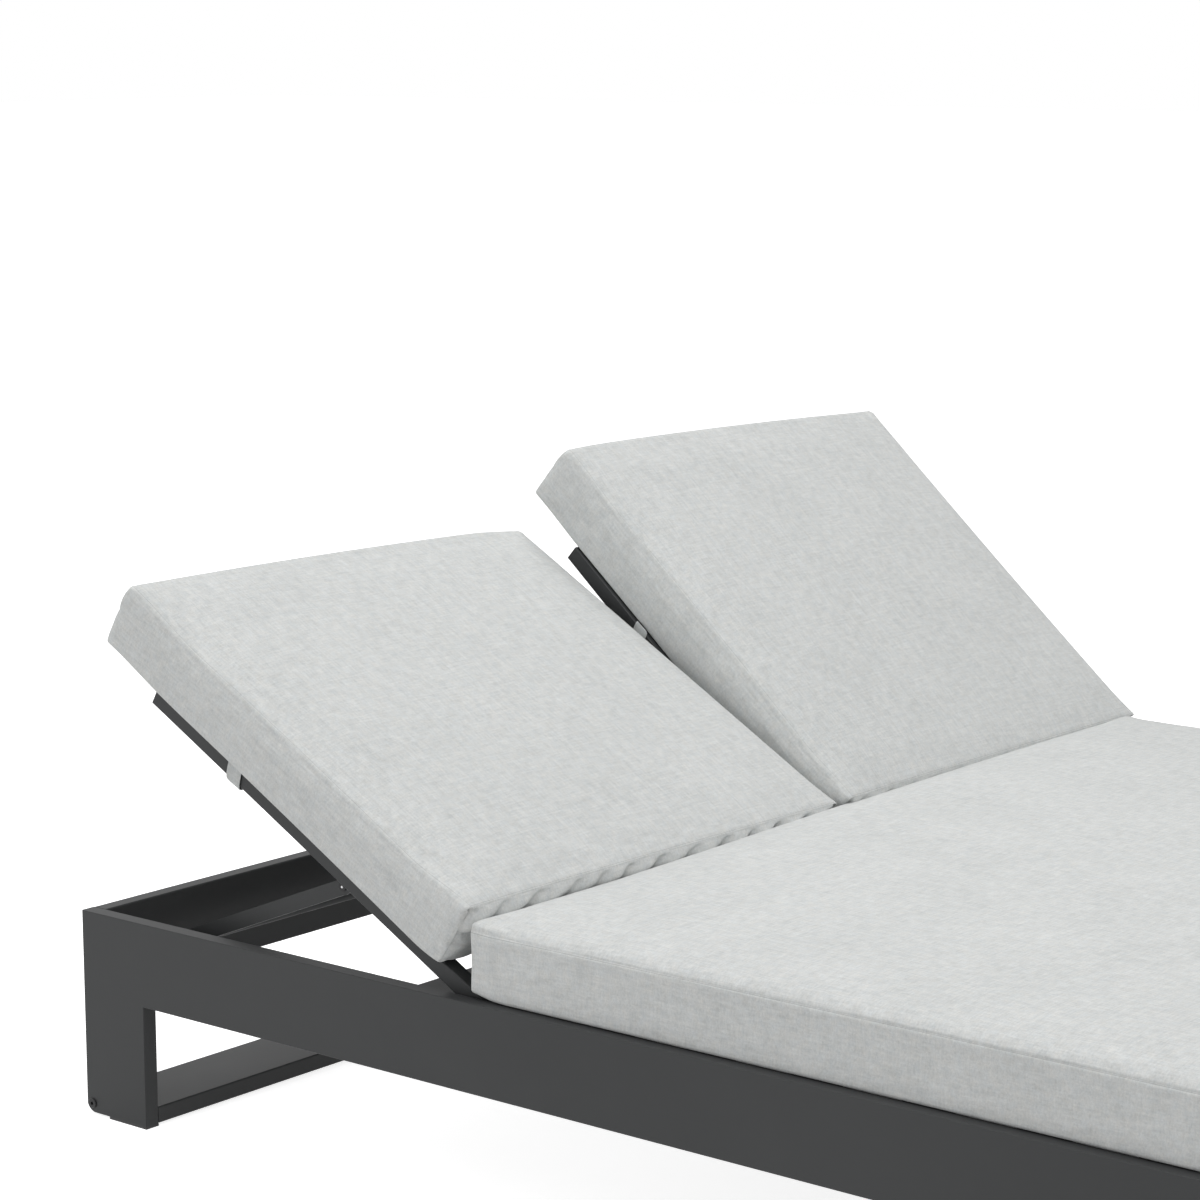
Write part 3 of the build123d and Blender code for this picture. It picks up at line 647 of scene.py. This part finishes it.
def shape_back_underside(point, place, from_outer):
    """Lift the underside past the tubes' ends, and let its outer edge hang over the tube."""
    if place.h < UNDER_PART:
        under = 1 - place.h / UNDER_PART
        lifted = 1 - smooth_step((place.from_head - HEAD_LIFT_FROM) / HEAD_LIFT_OVER)
        point.z += HEAD_LIFT * under * lifted
        point.x += HEAD_TUCK * under * (1 - smooth_step(place.from_head / HEAD_TUCK_OVER))
    if place.h < HANG_PART:
        hang = 1 - smooth_step((from_outer - HANG_WIDTH) / HANG_FADES_OVER)
        hang *= smooth_step(place.from_head / HANG_FROM_HEAD)
        point.z -= HANG * hang * (1 - place.h / HANG_PART)
    if place.h < UNDER_PART and place.from_foot < WORN_REACH:
        worn = (1 - place.from_foot / WORN_REACH) ** 2 * (1 - place.h / UNDER_PART)
        point.z += WORN_LIFT * worn
        point.x -= WORN_TUCK * worn


def pinch_lower_corners(point, place, corner):
    """Pull the cloth in along the lower corner seams, with a slot at their upper ends."""
    if place.on_end and place.u > 0:
        slot = ridge(place.from_side - SLOT_FROM_SIDE, SLOT_WIDTH)
        slot *= ridge(place.below_top - SLOT_DROP, SLOT_HEIGHT)
        point.x -= SLOT_DEPTH * slot
    if (place.on_side or place.on_end) and place.u > PINCH_PART:
        pinch = ridge(corner, PINCH_WIDTH)
        pinch *= smooth_step((place.below_top - PINCH_START) / PINCH_RISE_OVER)
        deep = PINCH + PINCH_MORE * ridge(place.below_top - PINCH_DROP, PINCH_HEIGHT)
        if place.on_side:
            point.y -= math.copysign(deep * pinch, place.v)
        if place.on_end:
            point.x -= deep * pinch


def back_shape_for(side):
    """A back cushion's dropped near edge, its worn lower corner and its slack lower end."""
    values = BACK_SIDES[side]

    def shape(point, place, corner):
        from_outer, from_inner = place.from_low_side, place.from_high_side
        if side == "far":
            from_outer, from_inner = from_inner, from_outer
        shape_back_top(point, place, side, from_outer, from_inner)
        shape_back_underside(point, place, from_outer)
        if place.on_end and place.u > 0:
            slack_panel(point, place, values["seed"], values["slack"])
        pinch_lower_corners(point, place, corner)
    return shape


def seat_rests():
    """The spans along X of the slats and cross rails that the seat cushion rests on."""
    names = [f"seat_slat_{number}" for number in range(1, SEAT_SLATS + 1)]
    names += ["near_hinge_rail", "foot_end_rail"]
    return [(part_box(name)[0].x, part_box(name)[1].x) for name in names]


# The seat cushion's head end, lifted and tucked in below and pushed in past the near corner
SEAT_LIFT, SEAT_LIFT_OVER = 0.006, 0.045
SEAT_TUCK, SEAT_TUCK_OVER = 0.0045, 0.03
SEAT_PUSH, SEAT_PUSH_OVER = 0.006, 0.10
PUSH_STARTS_AT, PUSH_REACHED_OVER = -0.97, 0.35

# Its top, fuller towards the far side and in from the edges, and the ripple of its sides
SHOULDER, SHOULDER_FROM_SIDE, SHOULDER_FROM_END = 0.004, 0.030, 0.060
FULLER, FULLER_STARTS_AT, FULLER_OVER = 0.0135, -0.9, 1.7
RIPPLE, RIPPLE_SEED, RIPPLE_SCALE = 0.0012, 21.5, 9.0

# Its underside, which sags inside the side rails between what it rests on
REST_MARGIN, SAG_FROM_END = 0.001, 0.02
SAG, SAG_STARTS_AT, SAG_RISES_OVER, SAG_FADES_FROM, SAG_FADES_OVER = 0.0038, 0.0074, 0.0026, 0.030, 0.030


def seat_shape_for(rests):
    """The seat cushion is fuller at the far side, and its underside sags between the slats."""

    def shape(point, place, _):
        point.z += SEAT_LIFT * (1 - smooth_step(place.from_head / SEAT_LIFT_OVER)) * (1 - place.h)
        point.x += SEAT_TUCK * (1 - place.h) * (1 - smooth_step(place.from_head / SEAT_TUCK_OVER))
        pushed = smooth_step((place.v - PUSH_STARTS_AT) / PUSH_REACHED_OVER)
        point.x += SEAT_PUSH * pushed * (1 - smooth_step(place.from_head / SEAT_PUSH_OVER))
        shoulder = smooth_step(place.from_side / SHOULDER_FROM_SIDE)
        shoulder *= smooth_step(place.from_end / SHOULDER_FROM_END)
        point.z += SHOULDER * shoulder * upper_share(place)
        point.z += FULLER * smooth_step((place.v - FULLER_STARTS_AT) / FULLER_OVER) * place.h
        if place.on_side:
            ripple = fold_noise(place.raw.x, place.raw.z * 0.5, RIPPLE_SEED, RIPPLE_SCALE)
            point.y += RIPPLE * ripple * 4 * place.h * (1 - place.h)
        free = all(place.raw.x < low - REST_MARGIN or place.raw.x > high + REST_MARGIN
                   for low, high in rests)
        if place.h < 0.01 and free and place.from_end > SAG_FROM_END:
            lip = smooth_step((place.from_side - SAG_STARTS_AT) / SAG_RISES_OVER)
            lip *= 1 - smooth_step((place.from_side - SAG_FADES_FROM) / SAG_FADES_OVER)
            point.z -= SAG * lip
    return shape


# radii: rounding at the ends, sides, top and base, and how much crisper the edges are near the ends
# seam: how far the top seam lies in from the edges, or below them; steps: the grid along X and Y
# crown, end_crown, side_crown: how far the middle, the ends and the sides rise
# draw, side_bow: how far the sides draw in at the waist and between the corners
# corners: a shift at the head's low and high side, then at the foot's
BACK_OPTIONS = {
    "radii": {"head": 0.011, "foot": 0.005, "side": 0.011, "top": 0.011, "below": 0.005,
              "plan": 0.003, "crisp_head": 0.0, "crisp_foot": 0.5},
    "seam": {"side": 0.007, "end": 0.004}, "seam_fade": 2.2, "steps": (0.011, 0.005),
    "drops": [drop for drop, _ in CREASES], "pressure": 2.0, "cap": 0.004, "fill": 0.85,
    "draw": 0.0020, "groove": 0.0007, "side_crown": 0.002,
}
BACK_SIDES = {
    "near": {
        "ends": (-0.645, -0.055), "crown": 0.007, "end_crown": 0.0045, "side_bow": 0.003,
        "outer_bow": 0.0, "push": 0.0, "pull": 0.0065, "dip": 0.0100, "slack": 0.0115,
        "seed": 3.7, "keep": 0.935,
        "corners": ((-0.0050, 0.004, 0), (0.0092, 0.0025, 0), (0.0, -0.001, 0),
                    (0.0075, -0.003, 0)),
    },
    "far": {
        "ends": (-0.645, -0.060), "crown": 0.007, "end_crown": 0.0055, "side_bow": 0.005,
        "outer_bow": 0.003, "push": 0.001, "pull": 0.002, "dip": 0.0072, "slack": 0.0085,
        "seed": 11.3, "keep": 0.945,
        "corners": ((-0.0105, 0.0, 0), (0.004, -0.0025, 0), (0.0, 0.0, 0), (0.002, -0.0025, 0)),
    },
}
SEAT_OPTIONS = {
    "radii": {"head": 0.006, "foot": 0.012, "side": 0.016, "top": 0.013, "below": 0.005,
              "plan": 0.003, "crisp_head": 0.7, "crisp_foot": 0.4},
    "seam": {"drop": 0.012}, "seam_fade": 1.5, "steps": (0.014, 0.014), "drops": (0.012,),
    "pressure": 1.5, "cap": 0.004, "fill": 0.85, "draw": 0.0022, "groove": 0.0007,
    "crown": 0.005, "end_crown": 0.003, "side_crown": 0.0015, "side_bow": 0.002,
    "corners": ((0, 0, 0), (0, 0, 0), (0, 0, 0), (0, 0, 0)),
}
REST_LINES = (-0.0015, 0.0015)


def make_seat_cushion():
    low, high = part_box("seat_cushion")
    low = Vector((HINGE.x - SEAT_CUSHION_PAST_HINGE, low.y, low.z))
    rests = seat_rests()
    edges = [x + shift for rest in rests for x, shift in zip(rest, REST_LINES)]
    options = dict(SEAT_OPTIONS, shape=seat_shape_for(rests), extra_x=edges)
    top = Vector((high.x, high.y, low.z + CUSHION_HEIGHT))
    seat = make_cushion("seat_cushion_cloth", low, top, options)
    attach(seat, "frame")
    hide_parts("seat_cushion")


def make_back_cushion(side):
    """The backrest's cushion, built at rest and carried by the backrest."""
    span = sorted((SIGN[side] * CUSHION_MIDDLE_INSET, SIGN[side] * (HALF_WIDTH - CUSHION_SIDE_INSET)))
    options = dict(BACK_OPTIONS, shape=back_shape_for(side), **BACK_SIDES[side])
    head, foot = options["ends"]
    cushion = make_cushion(f"{side}_back_cushion_cloth", Vector((head, span[0], BACK_CUSHION_BASE)),
                           Vector((foot, span[1], BACK_CUSHION_BASE + CUSHION_HEIGHT)), options)
    lie = back_matrix(side)
    cushion.matrix_world = lie
    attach(cushion, f"{side}_back")
    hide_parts(f"{side}_back_cushion")
    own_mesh(cushion)


# Small pieces. Each backrest's side tubes are this wide, and start this far from the middle.
BACK_TUBE = 0.020
TUBE_STARTS = (0.003, 0.645)

# A strap's path down its tube's outer face and under it: out from the face, and up from its axis
STRAP_PATH = ((0.0, 0.0150), (-0.0003, 0.006), (-0.0006, -0.004), (-0.0003, -0.0110),
              (0.0022, -0.0142), (0.0100, -0.0138))
STRAP_FROM_HINGE, STRAP_HALF_WIDTH, STRAP_THICKNESS = 0.4095, 0.0115, 0.0013
STRAP_OFF_TUBE = 0.0012
STRAP_COLUMNS = 7
STRAP_LEAN, STRAP_LEAN_CHANGE, STRAP_LOWEST, STRAP_RISE = 0.002, 0.008, 0.0142, 0.029
STRAP_CURL, STRAP_RIPPLE = 0.0003, 0.0004


def strap_rows(low, high, sign):
    """Rows of points round one side tube: down its outer face, under it and up the other."""
    down = [(low + y, z) for y, z in STRAP_PATH]
    up = [(low + high - y, z) for y, z in reversed(down[:-1])]
    rows = []
    half_columns = (STRAP_COLUMNS - 1) // 2
    for row, (y, z) in enumerate(down + up):
        lean = STRAP_LEAN - STRAP_LEAN_CHANGE * (z + STRAP_LOWEST) / STRAP_RISE
        points = []
        for step in range(STRAP_COLUMNS):
            across = step / half_columns - 1
            curl = STRAP_CURL * math.cos(2.6 * across + row)
            x = -STRAP_FROM_HINGE + STRAP_HALF_WIDTH * across + lean
            points.append((x, sign * (y + curl), z + STRAP_RIPPLE * math.sin(3 * across + row)))
        rows.append(points)
    return rows


def make_straps(side):
    """Fabric loops sewn to the back cushion's underside and wrapped round its side tubes."""
    sign = SIGN[side]
    vertices = []
    faces = []
    for start in TUBE_STARTS:
        base = len(vertices)
        rows = strap_rows(start - STRAP_OFF_TUBE, start + BACK_TUBE + STRAP_OFF_TUBE, sign)
        for row in rows:
            vertices.extend(row)
        for row in range(len(rows) - 1):
            for column in range(STRAP_COLUMNS - 1):
                a = base + row * STRAP_COLUMNS + column
                quad = (a, a + 1, a + STRAP_COLUMNS + 1, a + STRAP_COLUMNS)
                faces.append(quad if sign > 0 else quad[::-1])
    strap = mesh_object(f"{side}_strap_cloth", vertices, faces, STRAP_FABRIC)
    for label in ("top_seam", "corner_seam"):
        set_attribute(strap.data, label, [FAR_FROM_SEAM] * len(vertices))
    thick = strap.modifiers.new("thick", "SOLIDIFY")
    thick.thickness = STRAP_THICKNESS
    thick.offset = 0
    round_off = strap.modifiers.new("round", "SUBSURF")
    round_off.levels = 2
    round_off.render_levels = 2
    strap.matrix_world = back_matrix(side)
    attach(strap, f"{side}_back")
    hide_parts(f"{side}_cushion_straps")


RIVET_FROM_HINGE, RIVET_BELOW_HINGE = 0.231, 0.0257
RIVET_HEADS = ((0.0214, -1), (0.6466, 1))
PIN_TOP = 0.0009
PIN_RINGS = ((0.0007, 0.0008), (0.0013, 0.0005), (0.0016, 0.0), (0.0016, -0.0006))
PIN_SIDES = 16


def make_rivet_pins(side):
    """The bright pins that show in the middle of the stay's dark rivet heads."""
    sign = SIGN[side]
    vertices = []
    faces = []
    for face_y, outward in RIVET_HEADS:
        base = len(vertices)
        top_y = sign * (face_y + outward * PIN_TOP)
        vertices.append((-RIVET_FROM_HINGE, top_y, -RIVET_BELOW_HINGE))
        for radius, height in PIN_RINGS:
            ring_y = sign * (face_y + outward * height)
            for step in range(PIN_SIDES):
                angle = math.tau * step / PIN_SIDES
                vertices.append((-RIVET_FROM_HINGE + radius * math.cos(angle), ring_y,
                                 -RIVET_BELOW_HINGE + radius * math.sin(angle)))
        for step in range(PIN_SIDES):
            after = (step + 1) % PIN_SIDES
            cap = (base, base + 1 + step, base + 1 + after)
            faces.append(cap if sign * outward < 0 else cap[::-1])
            for ring in range(len(PIN_RINGS) - 1):
                a = base + 1 + ring * PIN_SIDES
                quad = (a + step, a + PIN_SIDES + step, a + PIN_SIDES + after, a + after)
                faces.append(quad if sign * outward < 0 else quad[::-1])
        last_ring = base + 1 + (len(PIN_RINGS) - 1) * PIN_SIDES
        back = tuple(last_ring + step for step in range(PIN_SIDES))
        faces.append(back[::-1] if sign * outward < 0 else back)
    pins = mesh_object(f"{side}_rivet_pins", vertices, faces, BRIGHT)
    pins.matrix_world = back_matrix(side)
    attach(pins, f"{side}_back")


# Stage, light and camera

STAGE_HALF_SIZE = 40.0
FLOOR_TONE, FLOOR_GLOW = 0.82, 0.84
WORLD_LIGHT, WORLD_MORE_WHEN_SEEN = 0.45, 0.55


def seen_directly(tree):
    """One for rays from the camera, a reflection or a clear material, and zero for light."""
    path = add(tree, "ShaderNodeLightPath")
    seen = math_node(tree, "ADD", path.outputs["Is Camera Ray"], path.outputs["Is Glossy Ray"])
    return math_node(tree, "ADD", seen, path.outputs["Is Transmission Ray"], clamp=True)


def make_stage():
    size = STAGE_HALF_SIZE
    corners = [(-size, -size, 0), (size, -size, 0), (size, size, 0), (-size, size, 0)]
    mesh_object("stage_floor", corners, [(0, 1, 2, 3)], stage_material(), False)


def stage_material():
    material, tree, shader = new_material("stage_paper")
    shader.inputs["Base Color"].default_value = (FLOOR_TONE, FLOOR_TONE, FLOOR_TONE, 1)
    shader.inputs["Roughness"].default_value = 0.95
    shader.inputs["Specular IOR Level"].default_value = 0.1
    glow = math_node(tree, "MULTIPLY", seen_directly(tree), FLOOR_GLOW)
    shader.inputs["Emission Color"].default_value = (1, 1, 1, 1)
    link(tree, glow, shader.inputs["Emission Strength"])
    return material


def make_world():
    world = bpy.data.worlds.new("studio")
    bpy.context.scene.world = world
    world.use_nodes = True
    tree = world.node_tree
    background = next(n for n in tree.nodes if n.type == "BACKGROUND")
    strength = math_node(tree, "MULTIPLY_ADD", seen_directly(tree), WORLD_MORE_WHEN_SEEN, WORLD_LIGHT)
    background.inputs["Color"].default_value = (1, 1, 1, 1)
    link(tree, strength, background.inputs["Strength"])


# Each lamp's place, what it points at, its two sides and its power in watts
LAMPS = {
    "overhead": ((-0.2, -0.3, 3.8), (-0.1, -0.1, 0.3), (5.6, 3.4), 108),
    "left_fill": ((-3.2, -2.4, 1.8), (0.0, 0.0, 0.3), (2.0, 2.0), 10),
    "front_fill": ((-1.6, -4.4, 1.3), (0.0, 0.0, 0.3), (2.4, 1.6), 12),
}


def area_light(name, place, target, size, power):
    data = bpy.data.lights.new(name, "AREA")
    data.shape = "RECTANGLE"
    data.size, data.size_y = size
    data.energy = power
    lamp = bpy.data.objects.new(name, data)
    bpy.context.scene.collection.objects.link(lamp)
    place = Vector(place)
    lamp.location = place
    lamp.rotation_euler = (Vector(target) - place).to_track_quat("-Z", "Y").to_euler()


# The camera: sizes in pixels of the picture, angles in degrees, and its place from the frame's corner
PICTURE_SIZE = 1200
FOCAL_PIXELS = 3373.0
PICTURE_CENTRE = (513.5, 779.9)
CAMERA_YAW, CAMERA_PITCH, CAMERA_ROLL = 40.246, 12.667, -0.057
CAMERA_FROM_HEAD, CAMERA_FROM_NEAR, CAMERA_HEIGHT = 2.8460, 2.5817, 1.2591
SENSOR_WIDTH = 36.0
VIEW_DISTANCE = 200


def make_camera():
    yaw, pitch, roll = (math.radians(angle) for angle in (CAMERA_YAW, CAMERA_PITCH, CAMERA_ROLL))
    forward = Vector((-math.sin(yaw) * math.cos(pitch), math.cos(yaw) * math.cos(pitch),
                      -math.sin(pitch)))
    right = Vector((math.cos(yaw), math.sin(yaw), 0))
    up = right.cross(forward)
    turned_right = right * math.cos(roll) + up * math.sin(roll)
    turned_up = up * math.cos(roll) - right * math.sin(roll)
    place = Vector((CAMERA_FROM_HEAD - HALF_LENGTH, -CAMERA_FROM_NEAR - HALF_WIDTH, CAMERA_HEIGHT))
    data = bpy.data.cameras.new("camera")
    data.sensor_width = SENSOR_WIDTH
    data.lens = FOCAL_PIXELS * SENSOR_WIDTH / PICTURE_SIZE
    data.shift_x = (PICTURE_SIZE / 2 - PICTURE_CENTRE[0]) / PICTURE_SIZE
    data.shift_y = (PICTURE_CENTRE[1] - PICTURE_SIZE / 2) / PICTURE_SIZE
    data.clip_end = VIEW_DISTANCE
    camera = bpy.data.objects.new("camera", data)
    bpy.context.scene.collection.objects.link(camera)
    rotation = Matrix((turned_right, turned_up, -forward)).transposed().to_4x4()
    camera.matrix_world = Matrix.Translation(place) @ rotation
    bpy.context.scene.camera = camera


make_camera()
make_world()
for lamp_name, lamp_values in LAMPS.items():
    area_light(lamp_name, *lamp_values)
make_stage()
dress_nodes()
make_seat_cushion()
for back_side in SIDES:
    make_back_cushion(back_side)
for back_side in SIDES:
    make_straps(back_side)
for back_side in SIDES:
    make_rivet_pins(back_side)
bpy.context.scene.view_settings.view_transform = "Standard"
